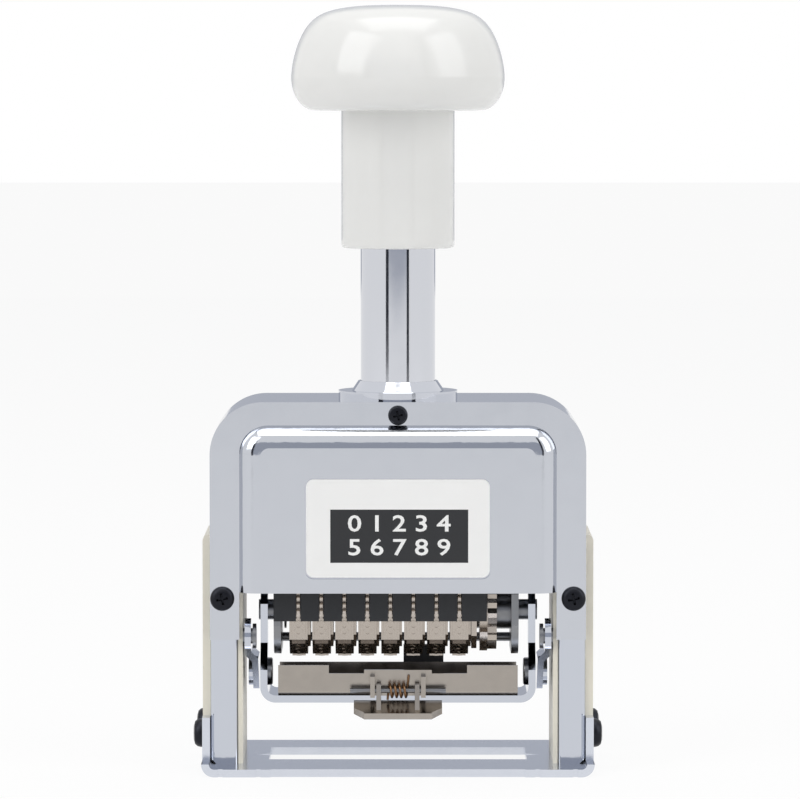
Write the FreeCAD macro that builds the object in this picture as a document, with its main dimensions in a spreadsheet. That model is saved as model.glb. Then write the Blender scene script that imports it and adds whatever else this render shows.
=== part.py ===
import FreeCAD, Part
import math
import os
import re
import Sketcher

# Automatic numbering machine: a standing frame on two legs, a sprung plunger with
# eight figure wheels, and an ink frame that swings forward as the plunger goes down.
# The origin is at the middle of the base's underside, -Y is the front, Z is up.

doc = FreeCAD.newDocument("numbering_machine")
sheet = doc.addObject("Spreadsheet::Sheet", "Sizes")
names = []


def size(alias, value):
    """Keep one driving dimension, in millimetres or degrees, as a named cell."""
    names.append(alias)
    row = str(len(names))
    sheet.set("A" + row, alias)
    sheet.set("B" + row, str(value))
    sheet.setAlias("B" + row, alias)


# Overall frame
size("half_width", 36.4)
size("frame_depth", 27)
size("frame_top", 71.9)
size("stroke", 21.3)
size("running_gap", 0.05)
size("side_gap", 0.3)

# Base plate
size("plate", 1.5)
size("base_depth", 45)
size("flange_top", 10.8)
size("flange_depth", 33)
size("base_bend", 2.5)
size("window_width", 50.4)
size("window_front", 7.2)
size("window_back", 11)
size("mark_notch", 2.6)
size("mark_width", 2.4)
size("lip_width", 49)
size("lip_step", 0.6)
size("tick_width", 0.9)
size("tick_depth", 0.6)
size("tick_outer", 34.2)
size("tick_inner", 26.9)

# Legs with their ivory covers and guides
size("leg_inner", 31)
size("leg_wall", 1.4)
size("leg_edge", 0.8)
size("leg_foot", 12.5)
size("leg_relief", 1.1)
size("leg_shoulder", 44)
size("leg_top", 60)
size("cover_wall", 1.5)
size("cover_top", 46)
size("cover_rib", 1.1)
size("cover_rib_depth", 2.4)
size("rib_start", 14)
size("rib_end", 30)
size("guide_wall", 0.9)
size("guide_depth", 26.8)
size("guide_top", 45)

# Side screws
size("side_screw_height", 6.9)
size("side_screw_spacing", 17)
size("side_head_radius", 2.8)
size("side_head_rise", 1.9)
size("side_shank_radius", 1.5)
size("side_shank_length", 5)

# Housing, covers, label and cover screws
size("shell", 1.5)
size("corner_radius", 10.3)
size("rim_thickness", 1.5)
size("lobe_bottom", 25.8)
size("lobe_width", 5.7)
size("panel_bottom", 35.1)
size("panel_rise", 3.2)
size("panel_half", 26.6)
size("panel_top", 63.2)
size("tub_half", 31.2)
size("tub_top", 67.4)
size("tub_corner", 5.6)
size("panel_corner", 1.8)
size("tub_wall", 1.1)
size("label_width", 36)
size("label_height", 19.6)
size("label_middle", 47.7)
size("label_corner", 1.8)
size("label_recess", 0.45)
size("label_gap", 0.3)
size("label_sheet", 0.35)
size("cover_screw_half", 34)
size("cover_screw_height", 33.8)
size("top_screw_height", 69.35)
size("cover_head_radius", 2.35)
size("top_head_radius", 1.9)
size("cover_head_rise", 1.3)
size("cover_shank_radius", 1.1)
size("cover_shank_length", 2.7)

# Shaft bush and the cross bar under the return spring
size("bush_flange_radius", 11.65)
size("bush_flange", 1.5)
size("bush_cone_radius", 9.05)
size("bush_cone_top", 7.75)
size("bush_cone_height", 1.9)
size("bush_barrel_radius", 9.2)
size("bush_barrel", 6)
size("bar_radius", 2)
size("bar_height", 49.5)

# Handle and plunger tube
size("tube_radius", 7.3)
size("tube_bore", 6)
size("tube_bottom", 43.9)
size("slot_gap", 0.3)
size("sleeve_bottom", 101.2)
size("sleeve_radius", 11.05)
size("sleeve_edge", 1)
size("knob_bottom", 128)
size("knob_foot", 18)
size("knob_radius", 20.9)
size("knob_belly", 134.9)
size("knob_shoulder", 16.2)
size("knob_shoulder_top", 148.1)
size("knob_top", 148.6)
size("knob_foot_round", 2.2)
size("knob_belly_round", 5)
size("knob_shoulder_round", 4.5)
size("stud_radius", 4)
size("stud_length", 11)
size("plug_length", 11)
size("spring_radius", 4.8)
size("spring_wire", 1.1)

# Head that carries the wheels
size("axle_height", 30.2)
size("axle_radius", 2)
size("axle_half", 27.3)
size("head_left", 24.2)
size("head_right", 23.5)
size("head_sheet", 1.4)
size("bridge_bottom", 44.5)
size("bridge_sheet", 2)
size("bridge_half", 10)
size("head_half", 7.6)
size("head_ear", 9.6)
size("head_round", 8.3)
size("rod_radius", 0.9)
size("rod_back", 8.6)
size("rod_height", 23.9)
size("upper_rod_back", 5.2)
size("upper_rod_height", 42)
size("comb_bottom", 28.9)
size("comb_top", 35.6)
size("comb_sheet", 0.8)
size("comb_end", 17.3)
size("comb_slot", 0.9)
size("pawl_sheet", 0.6)

# Figure wheels and the repeat discs beside them
size("wheel_count", 8)
size("first_wheel", -19.4)
size("wheel_pitch", 4.48)
size("wheel_width", 3.57)
size("wheel_flat", 8.45)
size("figure_face", 8.9)
size("figure_width", 2.6)
size("figure_height", 3.9)
size("ratchet_radius", 7.4)
size("ratchet_width", 0.5)
size("disc_gap", 0.1)
size("disc_width", 1.5)
size("disc_radius", 7.8)
size("cam_radius", 8.1)
size("dial_width", 1.8)

# Pawl rocker
size("rocker_reach", 11.4)
size("rocker_rest", 128)
size("rocker_sheet", 0.4)
size("rocker_hub", 4)
size("finger_width", 0.8)
size("finger_tip", 9.55)

# Ink frame
size("bracket_half", 26.9)
size("bracket_sheet", 1.4)
size("bracket_depth", 14)
size("bracket_bottom", 12.6)
size("bracket_bend", 3)
size("arm_width", 7.2)
size("rivet_height", 18)
size("rivet_head", 2.7)
size("rivet_rise", 0.9)
size("tray_half", 23.4)
size("tray_depth", 13.6)
size("tray_sheet", 0.5)
size("tray_front", 19.9)
size("tray_back", 19.1)
size("tray_notch", 27)
size("tray_notch_drop", 1.6)
size("catch_left", 1.1)
size("catch_width", 7.9)
size("catch_depth", 2.2)
size("catch_bottom", 15.6)
size("catch_top", 22.4)

# Ink links
size("link_pivot_front", 11.5)
size("link_pivot_height", 26.2)
size("link_pin_radius", 1.5)
size("link_end", 3.4)
size("link_sheet", 1.2)
size("link_upper", 28.5)
size("link_lower", 27.2)

# Clip in front of the tray
size("clip_half", 6.6)
size("clip_sheet", 0.9)
size("clip_top", 19.1)
size("clip_bar", 1)
size("clip_front", 9.6)
size("clip_pin_radius", 0.5)
size("clip_pin_half", 9.3)
size("clip_pin_height", 15.3)
size("clip_ear_half", 5.4)
size("lever_half", 8.6)
size("lever_lip_half", 6.6)
size("lever_ear_half", 4.2)
size("lever_rear_height", 12.1)
size("lip_height", 10.2)
size("lip_front", 13.6)
size("coil_radius", 1.3)
size("coil_wire", 0.45)
size("coil_pitch", 0.9)
size("coil_turns", 4)
doc.recompute()

known = re.compile(r"\b(" + "|".join(names) + r")\b")


def bound(text):
    """Turn a formula in plain names into one that reads the sheet's cells."""
    return known.sub(r"Sizes.\1", str(text))


def number(text):
    """The present value of a formula."""
    return float(sheet.evalExpression(bound(text)))


def bind(thing, **formulas):
    """Tie properties of an object to formulas; Base_x stands for Placement.Base.x."""
    for name, formula in formulas.items():
        path = name.replace("Base_", "Placement.Base.")
        thing.setExpression(path, bound(formula))


def origin_plane(body, role):
    for item in body.Origin.OriginFeatures:
        if item.Role == role:
            return item
    raise ValueError(role)


def corner_arc(before, corner, after, radius):
    """Ends and middle of the arc that rounds one corner."""
    first = (before - corner).normalize()
    second = (after - corner).normalize()
    half = first.getAngle(second) / 2
    reach = radius / math.tan(half)
    middle = (first + second).normalize() * (radius / math.sin(half) - radius)
    return corner + first * reach, corner + middle, corner + second * reach


def outline(sketch, corners):
    """A closed outline; a corner is (across, up) or (across, up, radius) in formulas."""
    points = []
    for corner in corners:
        points.append(FreeCAD.Vector(number(corner[0]), number(corner[1]), 0))
    count = len(points)
    starts = {}
    ends = {}
    arcs = {}
    for index in range(count):
        starts[index] = points[index]
        ends[index] = points[index]
        if len(corners[index]) == 3:
            radius = number(corners[index][2])
            turned = corner_arc(points[index - 1], points[index], points[(index + 1) % count], radius)
            ends[index], middle, starts[index] = turned
            arcs[index] = Part.Arc(ends[index], middle, starts[index])
    lines = []
    for index in range(count):
        line = Part.LineSegment(starts[index], ends[(index + 1) % count])
        lines.append(sketch.addGeometry(line, False))
    for index in range(count):
        before = lines[index - 1]
        after = lines[index]
        if index in arcs:
            round_edge = sketch.addGeometry(arcs[index], False)
            first_end = 1
            if sketch.getPoint(round_edge, 1).distanceToPoint(ends[index]) > 1e-6:
                first_end = 2
            sketch.addConstraint(Sketcher.Constraint("Tangent", before, 2, round_edge, first_end))
            sketch.addConstraint(Sketcher.Constraint("Tangent", after, 1, round_edge, 3 - first_end))
            radius = number(corners[index][2])
            place = sketch.addConstraint(Sketcher.Constraint("Radius", round_edge, radius))
            sketch.setExpression("Constraints[%d]" % place, bound(corners[index][2]))
            mark = sketch.addGeometry(Part.Point(points[index]), True)
            sketch.addConstraint(Sketcher.Constraint("PointOnObject", mark, 1, before))
            sketch.addConstraint(Sketcher.Constraint("PointOnObject", mark, 1, after))
            fixed = (mark, 1)
        else:
            sketch.addConstraint(Sketcher.Constraint("Coincident", before, 2, after, 1))
            fixed = (after, 1)
        pin(sketch, fixed, corners[index], points[index])


def pin(sketch, fixed, formulas, point):
    """Hold one sketch point at its two formulas, measured from the origin."""
    across = Sketcher.Constraint("DistanceX", -1, 1, fixed[0], fixed[1], point.x)
    place = sketch.addConstraint(across)
    sketch.setExpression("Constraints[%d]" % place, bound(formulas[0]))
    upward = Sketcher.Constraint("DistanceY", -1, 1, fixed[0], fixed[1], point.y)
    place = sketch.addConstraint(upward)
    sketch.setExpression("Constraints[%d]" % place, bound(formulas[1]))


def ring(sketch, across, up, radius):
    """A circle whose centre and radius are formulas."""
    centre = FreeCAD.Vector(number(across), number(up), 0)
    circle = Part.Circle(centre, FreeCAD.Vector(0, 0, 1), number(radius))
    edge = sketch.addGeometry(circle, False)
    place = sketch.addConstraint(Sketcher.Constraint("Radius", edge, number(radius)))
    sketch.setExpression("Constraints[%d]" % place, bound(radius))
    pin(sketch, (edge, 3), (across, up), centre)


def new_body(name):
    body = doc.addObject("PartDesign::Body", name)
    body.Label = name
    return body


def new_sketch(body, plane, offset):
    """A sketch on one of the body's own planes, moved along the plane's normal."""
    sketch = body.newObject("Sketcher::SketchObject", body.Name + "_sketch")
    sketch.AttachmentSupport = [(origin_plane(body, plane), "")]
    sketch.MapMode = "FlatFace"
    sketch.setExpression("AttachmentOffset.Base.z", bound(offset))
    return sketch


def draw(sketch, shapes):
    for shape in shapes:
        if shape[0] == "ring":
            ring(sketch, *shape[1:])
        else:
            outline(sketch, shape)


def add(body, plane, shapes, start, finish):
    """Pad closed outlines from one station to another along the plane's axis."""
    offset = start
    if plane == "XZ_Plane":
        offset = "-(%s)" % finish
    sketch = new_sketch(body, plane, offset)
    draw(sketch, shapes)
    pad = body.newObject("PartDesign::Pad", body.Name + "_pad")
    pad.Profile = sketch
    pad.setExpression("Length", bound("(%s) - (%s)" % (finish, start)))
    doc.recompute()
    return pad


def cut(body, plane, shapes, start, finish):
    """Pocket closed outlines between two stations, and make sure that metal went."""
    before = body.Shape.Volume
    offset = finish
    if plane == "XZ_Plane":
        offset = "-(%s)" % start
    sketch = new_sketch(body, plane, offset)
    draw(sketch, shapes)
    pocket = body.newObject("PartDesign::Pocket", body.Name + "_pocket")
    pocket.Profile = sketch
    pocket.setExpression("Length", bound("(%s) - (%s)" % (finish, start)))
    doc.recompute()
    if body.Shape.Volume >= before - 1e-6:
        raise ValueError("nothing was cut from " + body.Label)
    return pocket


def turn(body, corners, plane="XZ_Plane"):
    """Revolve a half outline about the sketch's upright axis."""
    sketch = new_sketch(body, plane, "0")
    outline(sketch, corners)
    round_form = body.newObject("PartDesign::Revolution", body.Name + "_turned")
    round_form.Profile = sketch
    round_form.ReferenceAxis = (sketch, ["V_Axis"])
    round_form.Angle = 360
    doc.recompute()
    return round_form


def box_outline(left, bottom, right, top, radius=None):
    """The four corners of an upright rectangle, rounded if a radius is given."""
    corners = [(left, bottom), (right, bottom), (right, top), (left, top)]
    if radius is None:
        return corners
    return [corner + (radius,) for corner in corners]


def group(name, members):
    """Like pieces kept together under one name."""
    gathered = doc.addObject("Part::Compound", name)
    gathered.Label = name
    gathered.Links = members
    return gathered


FACE_RIGHT = FreeCAD.Rotation(FreeCAD.Vector(0, 1, 0), 90)
HALF_TURN = FreeCAD.Rotation(FreeCAD.Vector(0, 0, 1), 180)


def rod(name, radius, start, finish, back, height):
    """A round bar along X between two stations."""
    bar = doc.addObject("Part::Cylinder", name)
    bar.Label = name
    bar.Placement.Rotation = FACE_RIGHT
    bind(bar, Radius=radius, Height="(%s) - (%s)" % (finish, start))
    bind(bar, Base_x=start, Base_y=back, Base_z=height)
    return bar


# The base is one bent plate. Its window lets the wheels reach the paper, and its
# notches and ticks mark the line and the width of the printed number.
base = new_body("base_plate")
foot = "half_width + plate"
channel = [
    ("-(%s)" % foot, "flange_top"),
    ("-(%s)" % foot, "0", "base_bend"),
    (foot, "0", "base_bend"),
    (foot, "flange_top"),
    ("half_width", "flange_top"),
    ("half_width", "plate", "base_bend - plate"),
    ("-half_width", "plate", "base_bend - plate"),
    ("-half_width", "flange_top"),
]
add(base, "XZ_Plane", [channel], "-base_depth / 2", "base_depth / 2")
window = [
    ("-window_width / 2", "-window_front"),
    ("window_width / 2", "-window_front"),
    ("window_width / 2", "-mark_width / 2"),
    ("window_width / 2 + mark_notch", "0"),
    ("window_width / 2", "mark_width / 2"),
    ("window_width / 2", "window_back"),
    ("-window_width / 2", "window_back"),
    ("-window_width / 2", "mark_width / 2"),
    ("-window_width / 2 - mark_notch", "0"),
    ("-window_width / 2", "-mark_width / 2"),
]
front_edge = "-base_depth / 2"
set_back = box_outline("-lip_width / 2", front_edge + " - 1", "lip_width / 2", front_edge + " + lip_step")
cut(base, "XY_Plane", [window, set_back], "-1", "plate + 1")
ticks = []
for place in ("-tick_outer", "-tick_inner", "tick_inner", "tick_outer"):
    left = place + " - tick_width / 2"
    right = place + " + tick_width / 2"
    ticks.append(box_outline(left, front_edge + " - 1", right, front_edge + " + tick_depth"))
cut(base, "XY_Plane", ticks, "-1", "plate + 1")
beyond = "half_width + plate + 1"
for low, high in (("-base_depth / 2 - 1", "-flange_depth / 2"), ("flange_depth / 2", "base_depth / 2 + 1")):
    slab = box_outline(low, "base_bend", high, "flange_top + 1")
    cut(base, "YZ_Plane", [slab], "-(%s)" % beyond, beyond)
holes = []
for side in ("-side_screw_spacing / 2", "side_screw_spacing / 2"):
    holes.append(("ring", side, "side_screw_height", "side_shank_radius"))
cut(base, "YZ_Plane", holes, "-(%s)" % beyond, beyond)


def leg(name, side):
    """One leg: a chromed channel open to the outside, on a solid foot."""
    body = new_body(name)
    near = "%d * leg_inner" % side
    far = "%d * half_width" % side
    left, right = (near, far) if side > 0 else (far, near)
    bar = box_outline(left, "-frame_depth / 2", right, "frame_depth / 2", "leg_edge")
    add(body, "XY_Plane", [bar], "plate", "leg_top")
    inner = "%d * (leg_inner + leg_wall)" % side
    outer = "%d * (half_width + 1)" % side
    left, right = (inner, outer) if side > 0 else (outer, inner)
    hollow = box_outline(left, "leg_wall - frame_depth / 2", right, "frame_depth / 2 - leg_wall")
    cut(body, "XY_Plane", [hollow], "leg_foot", "leg_top + 1")
    shoulder = "%d * (half_width - shell)" % side
    left, right = (shoulder, outer) if side > 0 else (outer, shoulder)
    step = box_outline(left, "-frame_depth", right, "frame_depth")
    cut(body, "XY_Plane", [step], "leg_shoulder", "leg_top + 1")
    # The foot's outer edge is bevelled off to sit in the fold of the base.
    relief = [
        ("%d * (half_width - leg_relief)" % side, "plate"),
        ("%d * (half_width + 1)" % side, "plate - 1"),
        ("%d * (half_width + 1)" % side, "plate + leg_relief + 1"),
        ("%d * half_width" % side, "plate + leg_relief"),
    ]
    cut(body, "XZ_Plane", [relief], "-frame_depth", "frame_depth")
    low, high = ("leg_inner - 1", "leg_inner + leg_wall + 1")
    if side < 0:
        low, high = ("-leg_inner - leg_wall - 1", "1 - leg_inner")
    bores = [("ring", "0", "bar_height", "bar_radius")]
    bores.append(("ring", "-link_pivot_front", "link_pivot_height", "link_pin_radius"))
    cut(body, "YZ_Plane", bores, low, high)
    screws = []
    for place in ("-side_screw_spacing / 2", "side_screw_spacing / 2"):
        screws.append(("ring", place, "side_screw_height", "side_shank_radius"))
    depth = "half_width - side_shank_length + plate"
    low, high = (depth, "half_width + 1") if side > 0 else ("-half_width - 1", "-(%s)" % depth)
    cut(body, "YZ_Plane", screws, low, high)
    threads = [("ring", "%d * cover_screw_half" % side, "cover_screw_height", "cover_shank_radius")]
    cut(body, "XZ_Plane", threads, "-frame_depth / 2 - 1", "leg_wall + 0.5 - frame_depth / 2")
    cut(body, "XZ_Plane", threads, "frame_depth / 2 - leg_wall - 0.5", "frame_depth / 2 + 1")
    return body


leg("left_leg", -1)
leg("right_leg", 1)


def side_cover(name, side):
    """Ivory strip that closes the outside of a leg, with two ribs that hold it."""
    body = new_body(name)
    inner = "%d * half_width" % side
    outer = "%d * (half_width + cover_wall)" % side
    if side > 0:
        strip = [
            (inner, "flange_top"),
            (outer, "flange_top"),
            (outer, "cover_top", "1.2"),
            (inner, "cover_top"),
        ]
    else:
        strip = [
            (outer, "flange_top"),
            (inner, "flange_top"),
            (inner, "cover_top"),
            (outer, "cover_top", "1.2"),
        ]
    half = "frame_depth / 2 - 1"
    add(body, "XZ_Plane", [strip], "-(%s)" % half, half)
    rib_face = "%d * (half_width - cover_rib_depth)" % side
    low, high = (rib_face, inner) if side > 0 else (inner, rib_face)
    wall = "frame_depth / 2 - leg_wall - 0.1"
    ribs = [box_outline("-(%s)" % wall, "rib_start", "cover_rib - (%s)" % wall, "rib_end")]
    ribs.append(box_outline("(%s) - cover_rib" % wall, "rib_start", wall, "rib_end"))
    add(body, "YZ_Plane", ribs, low, high)
    return body


side_cover("left_side_cover", -1)
side_cover("right_side_cover", 1)


def inner_guide(name, side):
    """Ivory liner on the inner face of a leg."""
    body = new_body(name)
    low, high = ("leg_inner - guide_wall", "leg_inner")
    if side < 0:
        low, high = ("-leg_inner", "guide_wall - leg_inner")
    half = "guide_depth / 2"
    strip = box_outline("-(%s)" % half, "plate", half, "guide_top")
    add(body, "YZ_Plane", [strip], low, high)
    pivot = [("ring", "-link_pivot_front", "link_pivot_height", "link_pin_radius")]
    cut(body, "YZ_Plane", pivot, "%s - 1" % low, "%s + 1" % high)
    return body


inner_guide("left_inner_guide", -1)
inner_guide("right_inner_guide", 1)


def cap_screw(name, head_radius, rise, shank_radius, length):
    """A pan-head screw standing on its own origin, head up."""
    body = new_body(name)
    profile = [
        ("0", "-(%s)" % length),
        (shank_radius, "-(%s)" % length),
        (shank_radius, "0"),
        (head_radius, "0"),
        (head_radius, rise, "0.7 * (%s)" % rise),
        ("0", rise),
    ]
    turn(body, profile)
    return body


def set_at(body, rotation, across, back, height):
    """Give a finished body its place on the machine."""
    body.Placement.Rotation = rotation
    bind(body, Base_x=across, Base_y=back, Base_z=height)
    return body


FACE_LEFT = FreeCAD.Rotation(FreeCAD.Vector(0, 1, 0), -90)
FACE_FRONT = FreeCAD.Rotation(FreeCAD.Vector(1, 0, 0), 90)
FACE_BACK = FreeCAD.Rotation(FreeCAD.Vector(1, 0, 0), -90)

# Four black screws hold the base's flanges to the feet of the legs.
members = []
for side, rotation in ((-1, FACE_LEFT), (1, FACE_RIGHT)):
    for place in ("-side_screw_spacing / 2", "side_screw_spacing / 2"):
        screw = cap_screw(
            "side_screw_%d" % (len(members) + 1),
            "side_head_radius",
            "side_head_rise",
            "side_shank_radius",
            "side_shank_length",
        )
        across = "%d * (half_width + plate)" % side
        members.append(set_at(screw, rotation, across, place, "side_screw_height"))
group("side_screws", members)

# The housing is an arched shell that joins the two legs. A lug under its roof at
# each end takes the top screw of a cover, and the shaft bush sits in its roof.
housing = new_body("housing")
inner_half = "half_width - shell"
arch = [
    ("-half_width", "leg_shoulder"),
    ("-(%s)" % inner_half, "leg_shoulder"),
    ("-(%s)" % inner_half, "frame_top - shell", "corner_radius - shell"),
    (inner_half, "frame_top - shell", "corner_radius - shell"),
    (inner_half, "leg_shoulder"),
    ("half_width", "leg_shoulder"),
    ("half_width", "frame_top", "corner_radius"),
    ("-half_width", "frame_top", "corner_radius"),
]
add(housing, "XZ_Plane", [arch], "-frame_depth / 2", "frame_depth / 2")
size_of_lug = box_outline("-3", "top_screw_height - 2.4", "3", "frame_top - shell / 2")
add(housing, "XZ_Plane", [size_of_lug], "-frame_depth / 2", "3.4 - frame_depth / 2")
add(housing, "XZ_Plane", [size_of_lug], "frame_depth / 2 - 3.4", "frame_depth / 2")
screw_line = [("ring", "0", "top_screw_height", "cover_shank_radius")]
cut(housing, "XZ_Plane", screw_line, "-frame_depth / 2 - 1", "frame_depth / 2 + 1")
cut(housing, "XY_Plane", [("ring", "0", "0", "bush_barrel_radius")], "frame_top - shell - 1", "frame_top + 1")


def tub_section(half, bottom, top, corner):
    """Outline of the raised tub at one depth: square below, rounded above."""
    return [
        ("-(%s)" % half, bottom),
        (half, bottom),
        (half, top, corner),
        ("-(%s)" % half, top, corner),
    ]


def loft(body, kind, sections):
    """A loft through outlines on the XZ plane, each given with its station in Y."""
    sketches = []
    for station, corners in sections:
        sketch = new_sketch(body, "XZ_Plane", "-(%s)" % station)
        outline(sketch, corners)
        sketches.append(sketch)
    form = body.newObject(kind, body.Name + "_loft")
    form.Profile = sketches[0]
    form.Sections = sketches[1:]
    form.Ruled = False
    doc.recompute()
    return form


def cover(name, has_label):
    """A chromed cover: a flat rim with two lobes round a raised, hollow tub."""
    body = new_body(name)
    back = "-frame_depth / 2"
    rim_face = "-(frame_depth / 2 + rim_thickness)"
    panel_face = "-(frame_depth / 2 + rim_thickness + panel_rise)"
    lobe = "half_width - lobe_width"
    rim = [
        ("-half_width", "lobe_bottom"),
        ("-(%s)" % lobe, "lobe_bottom"),
        ("-(%s)" % lobe, "panel_bottom"),
        (lobe, "panel_bottom"),
        (lobe, "lobe_bottom"),
        ("half_width", "lobe_bottom"),
        ("half_width", "frame_top", "corner_radius"),
        ("-half_width", "frame_top", "corner_radius"),
    ]
    add(body, "XZ_Plane", [rim], rim_face, back)
    bulge = "(tub_half - 0.3 * (tub_half - panel_half))"
    bulge_top = "(tub_top - 0.3 * (tub_top - panel_top))"
    tub = [
        (rim_face, tub_section("half_width - lobe_width", "panel_bottom", "tub_top", "tub_corner")),
        (
            rim_face + " - 0.62 * panel_rise",
            tub_section(bulge, "panel_bottom", bulge_top, "tub_corner - 1.4"),
        ),
        (panel_face, tub_section("panel_half", "panel_bottom", "panel_top", "panel_corner")),
    ]
    loft(body, "PartDesign::AdditiveLoft", tub)
    before = body.Shape.Volume
    below = "panel_bottom - 1"
    hollow = [
        (
            back,
            tub_section(
                "tub_half - 1.2 * tub_wall - rim_thickness",
                below,
                "tub_top - 1.2 * tub_wall - 1",
                "tub_corner - 1",
            ),
        ),
        (
            panel_face + " + tub_wall",
            tub_section("panel_half - tub_wall", below, "panel_top - tub_wall", "panel_corner"),
        ),
    ]
    loft(body, "PartDesign::SubtractiveLoft", hollow)
    if body.Shape.Volume >= before:
        raise ValueError("the tub stayed solid")
    holes = [("ring", "0", "top_screw_height", "cover_shank_radius")]
    for side in ("-cover_screw_half", "cover_screw_half"):
        holes.append(("ring", side, "cover_screw_height", "cover_shank_radius"))
    cut(body, "XZ_Plane", holes, rim_face + " - 1", back + " + 1")
    if has_label:
        recess = box_outline(
            "-label_width / 2",
            "label_middle - label_height / 2",
            "label_width / 2",
            "label_middle + label_height / 2",
            "label_corner",
        )
        cut(body, "XZ_Plane", [recess], panel_face + " - 1", panel_face + " + label_recess")
    return body


cover("front_cover", True)
rear_cover = cover("rear_cover", False)
rear_cover.Placement.Rotation = HALF_TURN

# Three black screws hold each cover, one in the roof lug and one in each leg.
for name, rotation, sign in (("front_cover_screws", FACE_FRONT, -1), ("rear_cover_screws", FACE_BACK, 1)):
    members = []
    rim_face = "%d * (frame_depth / 2 + rim_thickness)" % sign
    spots = [
        ("0", "top_screw_height", "top_head_radius"),
        ("-cover_screw_half", "cover_screw_height", "cover_head_radius"),
        ("cover_screw_half", "cover_screw_height", "cover_head_radius"),
    ]
    for across, height, head_radius in spots:
        screw = cap_screw(
            "%s_%d" % (name, len(members) + 1),
            head_radius,
            "cover_head_rise",
            "cover_shank_radius",
            "cover_shank_length",
        )
        members.append(set_at(screw, rotation, across, rim_face, height))
    group(name, members)

# The label is a thin plate in the recess of the front panel.
label = new_body("label_plate")
floor_of_recess = "-(frame_depth / 2 + rim_thickness + panel_rise - label_recess)"
plate_outline = box_outline(
    "label_gap - label_width / 2",
    "label_middle - label_height / 2 + label_gap",
    "label_width / 2 - label_gap",
    "label_middle + label_height / 2 - label_gap",
    "label_corner - label_gap",
)
add(label, "XZ_Plane", [plate_outline], floor_of_recess + " - label_sheet", floor_of_recess)

# The bush guides the plunger tube: a barrel in the roof, a flange disc and a cone.
bush = new_body("shaft_bush")
bush_bore = "tube_radius + running_gap"
turn(bush, [
    (bush_bore, "frame_top - bush_barrel"),
    ("bush_barrel_radius", "frame_top - bush_barrel"),
    ("bush_barrel_radius", "frame_top"),
    ("bush_flange_radius", "frame_top"),
    ("bush_flange_radius", "frame_top + bush_flange"),
    ("bush_cone_radius", "frame_top + bush_flange"),
    ("bush_cone_top", "frame_top + bush_flange + bush_cone_height"),
    (bush_bore, "frame_top + bush_flange + bush_cone_height"),
])

# A cross bar from leg to leg stands inside the slotted tube and carries the spring.
web_face = "leg_inner + leg_wall"
rod("spring_bar", "bar_radius", "-(%s)" % web_face, web_face, "0", "bar_height")

# Each ink link hangs on a shouldered pin in the inner wall of its leg.
members = []
for side, rotation in ((-1, FACE_RIGHT), (1, FACE_LEFT)):
    pivot = new_body("link_pivot_%d" % (len(members) + 1))
    head_face = "(link_upper - side_gap)"
    pin_profile = [
        ("0", "-(%s - %s)" % (web_face, head_face)),
        ("link_pin_radius", "-(%s - %s)" % (web_face, head_face)),
        ("link_pin_radius", "0"),
        ("1.6 * link_pin_radius", "0"),
        ("1.6 * link_pin_radius", "0.7"),
        ("0", "0.7"),
    ]
    turn(pivot, pin_profile)
    across = "%d * %s" % (side, head_face)
    members.append(set_at(pivot, rotation, across, "-link_pivot_front", "link_pivot_height"))
group("link_pivots", members)

# The plunger tube passes the bush, and its slot rides down over the cross bar.
tube = new_body("plunger_tube")
tube_rings = [("ring", "0", "0", "tube_radius"), ("ring", "0", "0", "tube_bore")]
add(tube, "XY_Plane", tube_rings, "tube_bottom", "knob_bottom")
slot_half = "bar_radius + slot_gap"
slot = box_outline(
    "-(%s)" % slot_half,
    "bar_height - (%s)" % slot_half,
    slot_half,
    "bar_height + stroke + %s" % slot_half,
    "bar_radius",
)
cut(tube, "YZ_Plane", [slot], "-tube_radius - 1", "tube_radius + 1")

sleeve = new_body("handle_sleeve")
turn(sleeve, [
    ("tube_radius", "sleeve_bottom"),
    ("sleeve_radius", "sleeve_bottom", "sleeve_edge"),
    ("sleeve_radius", "knob_bottom"),
    ("tube_radius", "knob_bottom"),
])

knob = new_body("handle_knob")
turn(knob, [
    ("stud_radius", "knob_bottom"),
    ("knob_foot", "knob_bottom", "knob_foot_round"),
    ("knob_radius", "knob_belly", "knob_belly_round"),
    ("knob_shoulder", "knob_shoulder_top", "knob_shoulder_round"),
    ("0", "knob_top"),
    ("0", "knob_bottom + stud_length"),
    ("stud_radius", "knob_bottom + stud_length"),
])

# The stud plugs the top of the tube, holds the knob and presses on the spring.
stud = new_body("knob_stud")
turn(stud, [
    ("0", "knob_bottom - plug_length"),
    ("tube_bore", "knob_bottom - plug_length"),
    ("tube_bore", "knob_bottom"),
    ("stud_radius", "knob_bottom"),
    ("stud_radius", "knob_bottom + stud_length"),
    ("0", "knob_bottom + stud_length"),
])

# The return spring is out of sight inside the tube, so it is kept as a plain sleeve.
spring = new_body("return_spring")
spring_rings = [
    ("ring", "0", "0", "spring_radius + spring_wire / 2"),
    ("ring", "0", "0", "spring_radius - spring_wire / 2"),
]
add(spring, "XY_Plane", spring_rings, "bar_height + bar_radius + 0.05", "knob_bottom - plug_length")

# The bridge joins the tube to the two side plates of the head.
bridge = new_body("head_bridge")
bridge_plan = box_outline("-head_left", "-bridge_half", "head_right", "bridge_half", "2")
bridge_hole = ("ring", "0", "0", "tube_radius")
add(bridge, "XY_Plane", [bridge_plan, bridge_hole], "bridge_bottom", "bridge_bottom + bridge_sheet")


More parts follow.
